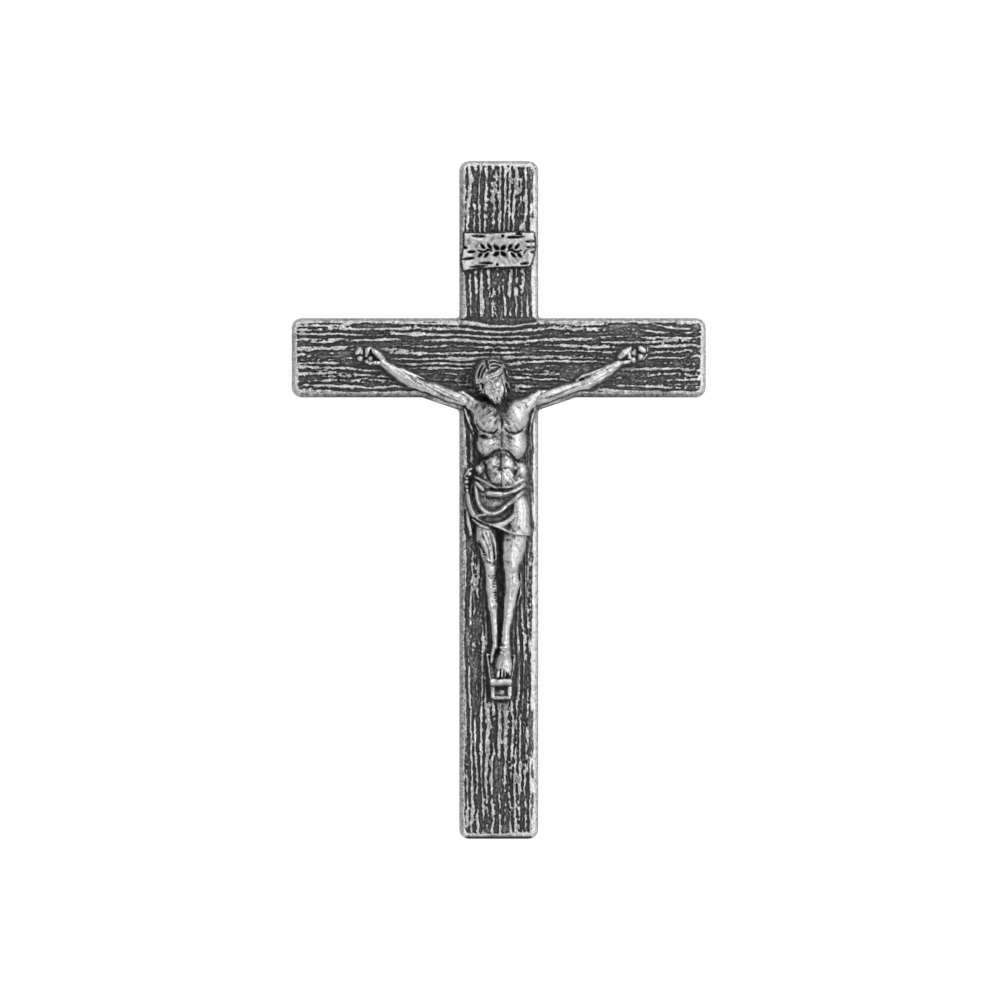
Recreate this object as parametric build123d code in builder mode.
"""A small cast-metal wall crucifix with a wood-grain cross.

Frame: millimetres, +Z up, +X to the right of someone facing the crucifix, and the front faces -Y.
The origin is the centre of the beam crossing on the flat back, which lies in the plane y = 0 against the wall.
"Left" and "right" in the node names are the left and right of someone facing the crucifix.

Two hollow-backed beams are half-lapped and screwed together. The figure is a body casting with two separately
cast arms, and two screws hold it from behind. Nails hold the hands and feet, a pin holds the foot rest, and a
D-ring hanger is riveted into the pocket behind the top of the upright.
"""

import os

from build123d import *

# The cross
HEIGHT = 130.0
WIDTH = 79.4
BEAM_WIDTH = 15.1
BEAM_DEPTH = 5.0
TOP_ABOVE_CROSSING = 37.7
CORNER_RADIUS = 1.9
EDGE_CHAMFER = 0.6
LAP_DEPTH = BEAM_DEPTH / 2
GUSSET_REACH = 14.8
GUSSET_BEND = 11.0
GUSSET_DROP = 2.45
GUSSET_SAG = 0.28

# The pockets in the back
WALL = 1.5
FRONT_WALL = 1.8
POCKET_DEPTH = BEAM_DEPTH - FRONT_WALL
POCKET_RADIUS = 1.0
CROSSING_MARGIN = 1.5
RIB_WIDTH = 1.2
RIB_HEIGHT = 1.9
RIB_PLACES = (-38.0, -55.0, -74.0)
BOSS_RADIUS = 2.6
BOSS_HEIGHT = 1.5

# Clearances: round a shank, past the end of a screw, and how far a cut runs past the face it opens
RUNNING_GAP = 0.02
BLIND_SLACK = 0.15
CLEAR = 3.0

# Screws, nails, pins and rivets. DOME is the share of a domed head's height that is rounded.
SINK_ANGLE = 45
DOME = 0.8
LAP_SCREW_PLACES = ((-4.6, 4.6), (4.6, -4.6))
LAP_SCREW_RADIUS = 0.8
LAP_SCREW_HEAD_RADIUS = 1.6
LAP_SCREW_LENGTH = 4.0
LAP_SLOT_TURN = 20
CORPUS_SCREW_PLACES = ((0.3, -13.0), (0.3, -28.5))
CORPUS_SCREW_RADIUS = 1.0
CORPUS_SCREW_BITE = 2.4
CORPUS_SCREW_HEAD_RADIUS = 1.75
CORPUS_SCREW_HEAD_HEIGHT = 1.0
CORPUS_SCREW_HEAD_ROUNDING = 0.33
CORPUS_SLOT_TURN = 35
WASHER_RADIUS = 2.3
WASHER_THICKNESS = 0.3
SLOT_WIDTH = 0.45
SLOT_DEPTH = 0.4
NAIL_RADIUS = 0.28
NAIL_TAIL = 0.5
HAND_NAIL_PLACES = {"left": (-24.6, -0.25), "right": (25.75, 0.85)}
HAND_NAIL_TOP = 1.75
FEET_NAIL_PLACE = (0.95, -57.6)
FEET_NAIL_TOP = 4.75
NAIL_HEAD_RADIUS = 0.42
NAIL_HEAD_HEIGHT = 0.3

# The title plaque, a bent board about twice as wide as it is high
PLAQUE_THICKNESS = 0.9
PLAQUE_CHAMFER = 0.2
PLAQUE_OUTLINE = (
    (-6.95, 18.6),
    (-6.6, 24.0),
    (0.0, 23.75),
    (6.75, 24.1),
    (7.0, 20.6),
    (6.4, 17.45),
    (0.0, 17.4),
    (-6.55, 16.8),
)
PLAQUE_STUD_PLACES = ((-4.6, 18.9), (4.6, 18.9))
PLAQUE_STUD_RADIUS = 0.6
PEENED_RADIUS = 1.0
PEENED_HEIGHT = 0.4

# The foot rest
REST_CENTRE = 0.45
REST_TOP = -56.8
REST_LEDGE = -61.7
REST_UNDERSIDE = -62.65
REST_BLOCK_TOP = -62.95
REST_BOTTOM = -65.5
REST_TOP_HALF_WIDTH = 2.8
REST_HALF_WIDTH = 2.1
REST_LEDGE_OUT = 4.4
REST_LEDGE_NOSE = 0.6
REST_LEDGE_RISE = 0.15
REST_TOP_OUT = 0.5
REST_CORNER_RADIUS = 0.6
REST_BLOCK_OUT = 2.2
REST_PANEL_BORDER = 0.55
REST_PANEL_DEPTH = 0.6
REST_PIN_PLACE = (0.55, -64.1)
REST_PIN_RADIUS = 0.4
REST_PIN_HEAD_RADIUS = 0.55
REST_PIN_HEAD_HEIGHT = 0.35

# The hanger
HINGE_Z = 28.0
HINGE_OUT = -1.75
WIRE_RADIUS = 0.55
RING_HALF_WIDTH = 3.9
RING_STRAIGHT = 3.7
RING_CORNER_RADIUS = 0.8
KNUCKLE_RADIUS = 1.1
KNUCKLE_GAP = 0.05
STRAP_WIDTH = 4.6
STRAP_THICKNESS = 0.5
STRAP_CORNER_RADIUS = 0.09
STRAP_END = 0.1
STRAP_TOP = 32.8
STRAP_RIVET_Z = 30.8
STRAP_RIVET_RADIUS = 0.7
STRAP_RIVET_HEAD_RADIUS = 1.25
STRAP_RIVET_HEAD_HEIGHT = 0.45
STRAP_RIVET_COVER = 0.8

# The figure's skeleton: (x, how far its centre stands out from the beams, z, radius)
ARM_STATIONS = {
    "left": (
        (-6.6, 1.35, -7.95, 1.35),
        (-9.6, 1.15, -7.15, 1.3),
        (-12.4, 0.95, -6.2, 1.3),
        (-14.8, 0.85, -5.4, 1.1),
        (-18.0, 0.85, -3.6, 1.25),
        (-22.2, 0.65, -0.9, 0.85),
        (-24.8, 0.25, 0.25, 1.6),
        (-27.2, 0.2, 0.9, 0.85),
    ),
    "right": (
        (7.0, 1.35, -7.85, 1.35),
        (9.8, 1.15, -6.95, 1.2),
        (12.6, 0.95, -6.0, 1.2),
        (15.3, 0.85, -5.1, 1.1),
        (18.8, 0.85, -3.5, 1.2),
        (22.9, 0.65, -1.0, 0.85),
        (25.7, 0.25, 0.4, 1.6),
        (28.4, 0.2, 1.1, 0.85),
    ),
}
TENON_RADIUS = 0.6
TENON_LENGTH = 1.6
SHOULDER_ROOT = {"left": (-3.4, 1.5, -9.6, 1.9), "right": (4.0, 1.5, -9.4, 1.9)}
TRUNK_SECTIONS = (
    # (z, centre x, half width, how far the front stands out)
    (-8.6, 0.5, 4.3, 2.6),
    (-10.5, 0.4, 5.2, 3.6),
    (-13.2, 0.5, 5.0, 4.4),
    (-16.0, 0.5, 4.7, 3.9),
    (-18.8, 0.6, 4.4, 3.3),
    (-22.0, 0.4, 4.9, 3.6),
    (-25.5, 0.0, 5.6, 4.1),
)
CLOTH_SECTIONS = (
    (-23.4, 0.1, 5.4, 3.9),
    (-27.0, 0.0, 5.9, 4.5),
    (-30.5, 0.3, 5.8, 4.6),
    (-33.9, 1.2, 4.9, 4.3),
)
LEG_STATIONS = {
    "left": (
        (-2.3, 2.0, -31.0, 2.0),
        (-2.2, 2.1, -35.5, 1.8),
        (-1.7, 2.6, -39.8, 1.35),
        (-1.45, 2.1, -43.5, 1.1),
        (-0.95, 1.8, -49.5, 0.8),
        (-0.6, 2.0, -55.2, 0.6),
    ),
    "right": (
        (3.2, 2.1, -31.0, 2.3),
        (2.95, 2.4, -35.5, 2.1),
        (2.4, 3.1, -39.8, 1.55),
        (2.65, 2.3, -43.5, 1.35),
        (2.0, 2.0, -49.5, 0.95),
        (1.25, 2.4, -55.2, 0.8),
    ),
}
FOOT_STATIONS = {
    "left": ((-0.6, 2.0, -54.8, 0.7), (-0.55, 2.4, -57.0, 0.95), (-0.2, 4.3, -60.6, 0.75)),
    "right": ((1.2, 2.5, -54.8, 0.85), (1.1, 3.3, -57.3, 1.25), (0.9, 4.7, -60.9, 0.95)),
}
HEAD_CENTRE = (-1.1, 3.9, -4.8)
HEAD_UP = (-0.17, -0.1, 0.98)
HEAD_HALF_HEIGHT = 4.3
HEAD_HALF_WIDTH = 3.4
NECK = ((0.1, 2.0, -9.6, 1.6), (-0.7, 3.0, -6.5, 1.5))


def point(x, out, z):
    """A point that stands `out` in front of the beams' front face."""
    return Vector(x, -BEAM_DEPTH - out, z)


def limb(stations):
    """Lofts one solid through a circle at each station, each square to the limb's run."""
    middles = [point(x, out, z) for x, out, z, _ in stations]
    profiles = []
    for i, (_, _, _, radius) in enumerate(stations):
        before = middles[max(i - 1, 0)]
        after = middles[min(i + 1, len(middles) - 1)]
        with BuildSketch(Plane(origin=middles[i], z_dir=after - before)) as profile:
            Circle(radius)
        profiles.append(profile.sketch)
    loft(profiles)


def barrel(sections):
    """Lofts one solid through level ellipses whose backs reach into the beams."""
    profiles = []
    for z, x, half_width, out in sections:
        with BuildSketch(Plane.XY.offset(z)) as profile:
            with Locations((x, -BEAM_DEPTH)):
                Ellipse(half_width, out)
        profiles.append(profile.sketch)
    loft(profiles)


def keep_front():
    """Cuts the active part off flat where it seats on the beams' front face."""
    split(bisect_by=Plane.XZ.offset(BEAM_DEPTH), keep=Keep.TOP)


def round_hole(place, radius, start, depth):
    """Cuts a round hole towards the front from the plane `start` in front of the back."""
    with BuildSketch(Plane.XZ.offset(start)) as profile:
        with Locations(place):
            Circle(radius)
    extrude(profile.sketch, amount=depth, mode=Mode.SUBTRACT)


def pocket(x, z, width, height):
    """Cuts one round-cornered pocket into the back."""
    with BuildSketch(Plane.XZ) as profile:
        with Locations((x, z)):
            RectangleRounded(width, height, POCKET_RADIUS)
    extrude(profile.sketch, amount=POCKET_DEPTH, mode=Mode.SUBTRACT)


def chamfer_front():
    """Chamfers the rim round the front face."""
    chamfer(faces().sort_by(Axis.Y)[0].outer_wire().edges(), length=EDGE_CHAMFER)


def save(builder, name):
    """Labels a finished piece and writes it as one STEP file."""
    builder.part.label = name
    export_step(builder.part, f"parts/{name}.step")


def make_upright():
    """The upright, cut away in front at the crossing and hollow behind."""
    bottom = TOP_ABOVE_CROSSING - HEIGHT
    pocket_width = BEAM_WIDTH - 2 * WALL
    top_pocket = (BEAM_WIDTH / 2 + CROSSING_MARGIN, TOP_ABOVE_CROSSING - WALL)
    low_pocket = (bottom + WALL, -BEAM_WIDTH / 2 - CROSSING_MARGIN)
    with BuildPart() as upright:
        with BuildSketch(Plane.XZ):
            with Locations((0, TOP_ABOVE_CROSSING - HEIGHT / 2)):
                RectangleRounded(BEAM_WIDTH, HEIGHT, CORNER_RADIUS)
        extrude(amount=BEAM_DEPTH)
        chamfer_front()
        with BuildSketch(Plane.XZ.offset(LAP_DEPTH)):
            Rectangle(BEAM_WIDTH, BEAM_WIDTH)
        extrude(amount=LAP_DEPTH, mode=Mode.SUBTRACT)
        for low, high in (top_pocket, low_pocket):
            pocket(0, (low + high) / 2, pocket_width, high - low)
        # Cross ribs and screw bosses stand on the pocket's floor.
        with BuildSketch(Plane.XZ.offset(POCKET_DEPTH)):
            with Locations(*[(0, z) for z in RIB_PLACES]):
                Rectangle(pocket_width, RIB_WIDTH)
        extrude(amount=-RIB_HEIGHT)
        with BuildSketch(Plane.XZ.offset(POCKET_DEPTH)):
            with Locations(*CORPUS_SCREW_PLACES):
                Circle(BOSS_RADIUS)
        extrude(amount=-BOSS_HEIGHT)
        for place in CORPUS_SCREW_PLACES:
            round_hole(place, CORPUS_SCREW_RADIUS + RUNNING_GAP, 0, BEAM_DEPTH)
        for place in PLAQUE_STUD_PLACES:
            round_hole(place, PLAQUE_STUD_RADIUS + RUNNING_GAP, 0, BEAM_DEPTH)
        round_hole(REST_PIN_PLACE, REST_PIN_RADIUS + RUNNING_GAP, 0, BEAM_DEPTH)
        round_hole(FEET_NAIL_PLACE, NAIL_RADIUS + RUNNING_GAP, 0, BEAM_DEPTH)
        round_hole((0, STRAP_RIVET_Z), STRAP_RIVET_RADIUS + RUNNING_GAP, 0, BEAM_DEPTH - STRAP_RIVET_COVER)
        for place in LAP_SCREW_PLACES:
            round_hole(place, LAP_SCREW_RADIUS + RUNNING_GAP, 0, LAP_DEPTH)
            with BuildSketch(Plane.XZ):
                with Locations(place):
                    Circle(LAP_SCREW_HEAD_RADIUS + RUNNING_GAP)
            extrude(amount=LAP_SCREW_HEAD_RADIUS - LAP_SCREW_RADIUS, taper=SINK_ANGLE, mode=Mode.SUBTRACT)
    return upright


def make_cross_beam():
    """The cross-beam, notched behind at the crossing, with a gusset under each upper arm."""
    edge = BEAM_WIDTH / 2
    pocket_ends = (edge + CROSSING_MARGIN, WIDTH / 2 - WALL)
    with BuildPart() as beam:
        with BuildSketch(Plane.XZ):
            RectangleRounded(WIDTH, BEAM_WIDTH, CORNER_RADIUS)
            for side in (-1, 1):
                with BuildLine():
                    Line((side * edge, -edge - GUSSET_DROP), (side * edge, 0))
                    Line((side * edge, 0), (side * GUSSET_REACH, 0))
                    Line((side * GUSSET_REACH, 0), (side * GUSSET_REACH, -edge))
                    ThreePointArc(
                        (side * GUSSET_REACH, -edge),
                        (side * (GUSSET_BEND + GUSSET_REACH) / 2, -edge - GUSSET_SAG),
                        (side * GUSSET_BEND, -edge - GUSSET_DROP / 2),
                    )
                    Line((side * GUSSET_BEND, -edge - GUSSET_DROP / 2), (side * edge, -edge - GUSSET_DROP))
                make_face()
        extrude(amount=BEAM_DEPTH)
        chamfer_front()
        with BuildSketch(Plane.XZ):
            with Locations((0, -GUSSET_DROP)):
                Rectangle(BEAM_WIDTH, BEAM_WIDTH + 2 * GUSSET_DROP)
        extrude(amount=LAP_DEPTH, mode=Mode.SUBTRACT)
        for side in (-1, 1):
            middle = side * sum(pocket_ends) / 2
            pocket(middle, 0, pocket_ends[1] - pocket_ends[0], BEAM_WIDTH - 2 * WALL)
        # The front of the crossing keeps the beam's own width, so that the upright shows below it.
        with BuildSketch(Plane.XZ.offset(LAP_DEPTH)):
            with Locations((0, -edge - GUSSET_DROP)):
                Rectangle(BEAM_WIDTH, 2 * GUSSET_DROP)
        extrude(amount=LAP_DEPTH, mode=Mode.SUBTRACT)
        for place in HAND_NAIL_PLACES.values():
            round_hole(place, NAIL_RADIUS + RUNNING_GAP, 0, BEAM_DEPTH)
        bite = LAP_SCREW_LENGTH - LAP_DEPTH
        for place in LAP_SCREW_PLACES:
            round_hole(place, LAP_SCREW_RADIUS + RUNNING_GAP, LAP_DEPTH, bite + BLIND_SLACK)
    return beam


def make_lap_screws():
    """Countersunk screws that clamp the half-lap from behind, flush with the back."""
    with BuildPart() as screws:
        for place in LAP_SCREW_PLACES:
            with BuildSketch(Plane.XZ):
                with Locations(place):
                    Circle(LAP_SCREW_HEAD_RADIUS)
            extrude(amount=LAP_SCREW_HEAD_RADIUS - LAP_SCREW_RADIUS, taper=SINK_ANGLE)
            with BuildSketch(Plane.XZ):
                with Locations(place):
                    Circle(LAP_SCREW_RADIUS)
            extrude(amount=LAP_SCREW_LENGTH)
            with BuildSketch(Plane.XZ):
                with Locations(place):
                    Rectangle(2 * LAP_SCREW_HEAD_RADIUS, SLOT_WIDTH, rotation=LAP_SLOT_TURN)
            extrude(amount=SLOT_DEPTH, mode=Mode.SUBTRACT)
    return screws


def make_corpus_screws():
    """Slotted pan-head screws through the upright's bosses into the figure's back."""
    seat = POCKET_DEPTH - BOSS_HEIGHT - WASHER_THICKNESS
    with BuildPart() as screws:
        with BuildSketch(Plane.XZ.offset(seat - CORPUS_SCREW_HEAD_HEIGHT)):
            with Locations(*CORPUS_SCREW_PLACES):
                Circle(CORPUS_SCREW_HEAD_RADIUS)
        extrude(amount=CORPUS_SCREW_HEAD_HEIGHT)
        backs = faces().filter_by(GeomType.PLANE).group_by(Axis.Y)[-1]
        fillet(backs.edges(), radius=CORPUS_SCREW_HEAD_ROUNDING)
        with BuildSketch(Plane.XZ.offset(seat - CORPUS_SCREW_HEAD_HEIGHT)):
            with Locations(*CORPUS_SCREW_PLACES):
                Rectangle(2 * CORPUS_SCREW_HEAD_RADIUS, SLOT_WIDTH, rotation=CORPUS_SLOT_TURN)
        extrude(amount=SLOT_DEPTH, mode=Mode.SUBTRACT)
        with BuildSketch(Plane.XZ.offset(seat)):
            with Locations(*CORPUS_SCREW_PLACES):
                Circle(CORPUS_SCREW_RADIUS)
        extrude(amount=BEAM_DEPTH - seat + CORPUS_SCREW_BITE)
    return screws


def make_washers():
    """Flat washers between the screw heads and the bosses."""
    with BuildPart() as washers:
        with BuildSketch(Plane.XZ.offset(POCKET_DEPTH - BOSS_HEIGHT)):
            with Locations(*CORPUS_SCREW_PLACES):
                Circle(WASHER_RADIUS)
                Circle(CORPUS_SCREW_RADIUS + RUNNING_GAP, mode=Mode.SUBTRACT)
        extrude(amount=-WASHER_THICKNESS)
    return washers


def make_nail(place, top):
    """A round nail: a domed head `top` in front of the beams, a shank, and a tail in the pocket."""
    with BuildPart() as nail:
        with BuildSketch(Plane.XZ.offset(POCKET_DEPTH - NAIL_TAIL)):
            with Locations(place):
                Circle(NAIL_RADIUS)
        extrude(amount=FRONT_WALL + NAIL_TAIL + top)
        with BuildSketch(Plane.XZ.offset(BEAM_DEPTH + top)):
            with Locations(place):
                Circle(NAIL_HEAD_RADIUS)
        extrude(amount=NAIL_HEAD_HEIGHT)
        fillet(faces().sort_by(Axis.Y)[0].edges(), radius=NAIL_HEAD_HEIGHT * DOME)
    return nail


def make_foot_rest():
    """A sloping shelf with a front ledge, over a block with a sunk panel."""
    front = BEAM_DEPTH + REST_LEDGE_OUT
    with BuildPart() as rest:
        # The side profile, drawn in the YZ plane and pushed across the full width
        with BuildSketch(Plane.YZ.offset(REST_CENTRE)):
            Polygon(
                (-BEAM_DEPTH, REST_TOP),
                (-BEAM_DEPTH - REST_TOP_OUT, REST_TOP),
                (-front + REST_LEDGE_NOSE, REST_LEDGE - REST_LEDGE_RISE),
                (-front, REST_LEDGE),
                (-front, REST_UNDERSIDE),
                (-BEAM_DEPTH - REST_BLOCK_OUT, REST_BLOCK_TOP),
                (-BEAM_DEPTH - REST_BLOCK_OUT, REST_BOTTOM),
                (-BEAM_DEPTH, REST_BOTTOM),
                align=None,
            )
        extrude(amount=REST_TOP_HALF_WIDTH, both=True)
        # The front view trims it to its taper.
        with BuildSketch(Plane.XZ):
            with Locations((REST_CENTRE, 0)):
                Polygon(
                    (-REST_TOP_HALF_WIDTH, REST_TOP),
                    (-REST_HALF_WIDTH, REST_LEDGE),
                    (-REST_HALF_WIDTH, REST_BOTTOM),
                    (REST_HALF_WIDTH, REST_BOTTOM),
                    (REST_HALF_WIDTH, REST_LEDGE),
                    (REST_TOP_HALF_WIDTH, REST_TOP),
                    align=None,
                )
            fillet(vertices().group_by(Axis.Y)[0], radius=REST_CORNER_RADIUS)
        extrude(amount=front + CLEAR, mode=Mode.INTERSECT)
        with BuildSketch(Plane.XZ.offset(BEAM_DEPTH + REST_BLOCK_OUT)):
            with Locations((REST_CENTRE, (REST_BLOCK_TOP + REST_BOTTOM + REST_PANEL_BORDER) / 2)):
                Rectangle(
                    2 * (REST_HALF_WIDTH - REST_PANEL_BORDER),
                    REST_BLOCK_TOP - REST_BOTTOM - REST_PANEL_BORDER,
                )
        extrude(amount=-REST_PANEL_DEPTH, mode=Mode.SUBTRACT)
        round_hole(REST_PIN_PLACE, REST_PIN_RADIUS + RUNNING_GAP, BEAM_DEPTH, REST_BLOCK_OUT)
        round_hole(FEET_NAIL_PLACE, NAIL_RADIUS + RUNNING_GAP, BEAM_DEPTH, REST_LEDGE_OUT)
    return rest


def make_rest_pin():
    """The pin through the foot rest's panel, riveted over in the pocket behind."""
    panel = BEAM_DEPTH + REST_BLOCK_OUT - REST_PANEL_DEPTH
    with BuildPart() as pin:
        with BuildSketch(Plane.XZ.offset(POCKET_DEPTH)):
            with Locations(REST_PIN_PLACE):
                Circle(REST_PIN_RADIUS)
        extrude(amount=panel - POCKET_DEPTH)
        with BuildSketch(Plane.XZ.offset(panel)):
            with Locations(REST_PIN_PLACE):
                Circle(REST_PIN_HEAD_RADIUS)
        extrude(amount=REST_PIN_HEAD_HEIGHT)
        fillet(faces().sort_by(Axis.Y)[0].edges(), radius=REST_PIN_HEAD_HEIGHT * DOME)
        with BuildSketch(Plane.XZ.offset(POCKET_DEPTH - PEENED_HEIGHT)):
            with Locations(REST_PIN_PLACE):
                Circle(PEENED_RADIUS)
        extrude(amount=PEENED_HEIGHT)
    return pin


def make_plaque():
    """The title board, with two studs that are riveted over in the pocket behind."""
    with BuildPart() as plaque:
        with BuildSketch(Plane.XZ.offset(BEAM_DEPTH)):
            Polygon(*PLAQUE_OUTLINE, align=None)
        extrude(amount=PLAQUE_THICKNESS)
        chamfer(faces().sort_by(Axis.Y)[0].outer_wire().edges(), length=PLAQUE_CHAMFER)
        with BuildSketch(Plane.XZ.offset(POCKET_DEPTH)):
            with Locations(*PLAQUE_STUD_PLACES):
                Circle(PLAQUE_STUD_RADIUS)
        extrude(amount=FRONT_WALL)
        with BuildSketch(Plane.XZ.offset(POCKET_DEPTH - PEENED_HEIGHT)):
            with Locations(*PLAQUE_STUD_PLACES):
                Circle(PEENED_RADIUS)
        extrude(amount=PEENED_HEIGHT)
    return plaque


def make_arm(side):
    """One cast arm with its hand, and a round tenon that enters the shoulder."""
    stations = ARM_STATIONS[side]
    shoulder = point(*stations[0][:3])
    outward = point(*stations[1][:3]) - shoulder
    with BuildPart() as arm:
        limb(stations)
        keep_front()
        with BuildSketch(Plane(origin=shoulder, z_dir=-outward)):
            Circle(TENON_RADIUS)
        extrude(amount=TENON_LENGTH)
        round_hole(HAND_NAIL_PLACES[side], NAIL_RADIUS + RUNNING_GAP, BEAM_DEPTH, HAND_NAIL_TOP)
        with BuildSketch(Plane.XZ.offset(BEAM_DEPTH + HAND_NAIL_TOP)):
            with Locations(HAND_NAIL_PLACES[side]):
                Circle(NAIL_HEAD_RADIUS + RUNNING_GAP)
        extrude(amount=NAIL_HEAD_HEIGHT, mode=Mode.SUBTRACT)
    return arm


def make_head():
    """The head, an upright egg about the origin that the body leans into place."""
    with BuildPart() as head:
        with BuildSketch(Plane.XZ):
            Ellipse(HEAD_HALF_WIDTH, HEAD_HALF_HEIGHT)
            with Locations((-HEAD_HALF_WIDTH, 0)):
                Rectangle(2 * HEAD_HALF_WIDTH, 2 * HEAD_HALF_HEIGHT, mode=Mode.SUBTRACT)
        revolve(axis=Axis.Z)
    return head


def make_body(arms, rest):
    """The figure's body casting: head, trunk, loincloth, legs and crossed feet."""
    head = Plane(origin=point(*HEAD_CENTRE), z_dir=HEAD_UP).location * make_head().part
    with BuildPart() as body:
        barrel(TRUNK_SECTIONS)
        barrel(CLOTH_SECTIONS)
        for side, root in SHOULDER_ROOT.items():
            limb((root, ARM_STATIONS[side][0]))
        for stations in (*LEG_STATIONS.values(), *FOOT_STATIONS.values(), NECK):
            limb(stations)
        add(head)
        keep_front()
        for arm in arms:
            add(arm.part, mode=Mode.SUBTRACT)
        add(rest.part, mode=Mode.SUBTRACT)
        hole = CORPUS_SCREW_RADIUS + RUNNING_GAP
        for place in CORPUS_SCREW_PLACES:
            round_hole(place, hole, BEAM_DEPTH, CORPUS_SCREW_BITE + BLIND_SLACK)
        round_hole(FEET_NAIL_PLACE, NAIL_RADIUS + RUNNING_GAP, BEAM_DEPTH, FEET_NAIL_TOP)
        round_hole(FEET_NAIL_PLACE, NAIL_HEAD_RADIUS + RUNNING_GAP, BEAM_DEPTH + FEET_NAIL_TOP, CLEAR)
    return body


def make_strap():
    """The hanger's strap: a flat tongue rolled round the ring's straight bar."""
    knuckle = Plane.YZ.offset(-STRAP_WIDTH / 2)
    tongue = STRAP_TOP - HINGE_Z + 2 * STRAP_END
    with BuildPart() as strap:
        with BuildSketch(Plane.XZ.offset(POCKET_DEPTH)):
            with Locations((0, (HINGE_Z + STRAP_TOP) / 2)):
                RectangleRounded(STRAP_WIDTH, tongue, STRAP_CORNER_RADIUS)
        extrude(amount=-STRAP_THICKNESS)
        with BuildSketch(knuckle):
            with Locations((HINGE_OUT, HINGE_Z)):
                Circle(KNUCKLE_RADIUS)
        extrude(amount=STRAP_WIDTH)
        with BuildSketch(knuckle):
            with Locations((HINGE_OUT, HINGE_Z)):
                Circle(WIRE_RADIUS + KNUCKLE_GAP)
        extrude(amount=STRAP_WIDTH, mode=Mode.SUBTRACT)
        round_hole((0, STRAP_RIVET_Z), STRAP_RIVET_RADIUS + RUNNING_GAP, 0, BEAM_DEPTH)
    return strap


def make_strap_rivet():
    """The rivet that holds the strap to the pocket's floor."""
    seat = POCKET_DEPTH - STRAP_THICKNESS
    with BuildPart() as rivet:
        with BuildSketch(Plane.XZ.offset(seat - STRAP_RIVET_HEAD_HEIGHT)):
            with Locations((0, STRAP_RIVET_Z)):
                Circle(STRAP_RIVET_HEAD_RADIUS)
        extrude(amount=STRAP_RIVET_HEAD_HEIGHT)
        fillet(faces().sort_by(Axis.Y)[-1].edges(), radius=STRAP_RIVET_HEAD_HEIGHT * DOME)
        with BuildSketch(Plane.XZ.offset(seat)):
            with Locations((0, STRAP_RIVET_Z)):
                Circle(STRAP_RIVET_RADIUS)
        extrude(amount=BEAM_DEPTH - 0.8 - seat)
    return rivet


def make_ring():
    """The hanging ring: a straight bar through the strap and a round bow that hangs below it."""
    bar_end = RING_HALF_WIDTH - WIRE_RADIUS
    bow_bottom = HINGE_Z - RING_STRAIGHT - bar_end
    with BuildPart() as ring:
        with BuildLine(Plane.XZ.offset(-HINGE_OUT)):
            FilletPolyline(
                (0, HINGE_Z),
                (bar_end, HINGE_Z),
                (bar_end, bow_bottom),
                (0, bow_bottom),
                radius=[RING_CORNER_RADIUS, bar_end - RUNNING_GAP],
            )
        with BuildSketch(Plane(origin=(0, HINGE_OUT, HINGE_Z), z_dir=(1, 0, 0))):
            Circle(WIRE_RADIUS)
        sweep()
        mirror(about=Plane.YZ)
    return ring


def main():
    os.makedirs("parts", exist_ok=True)
    arms = {side: make_arm(side) for side in ARM_STATIONS}
    rest = make_foot_rest()
    save(make_upright(), "upright_beam")
    save(make_cross_beam(), "cross_beam")
    save(make_lap_screws(), "lap_screws")
    save(make_corpus_screws(), "corpus_screws")
    save(make_washers(), "corpus_screw_washers")
    save(make_body(arms.values(), rest), "corpus_body")
    for side, arm in arms.items():
        save(arm, f"corpus_arm_{side}")
        save(make_nail(HAND_NAIL_PLACES[side], HAND_NAIL_TOP), f"hand_nail_{side}")
    save(make_nail(FEET_NAIL_PLACE, FEET_NAIL_TOP), "feet_nail")
    save(rest, "foot_rest")
    save(make_rest_pin(), "foot_rest_pin")
    save(make_plaque(), "title_plaque")
    save(make_strap(), "hanger_strap")
    save(make_strap_rivet(), "hanger_rivet")
    save(make_ring(), "hanging_ring")


main()
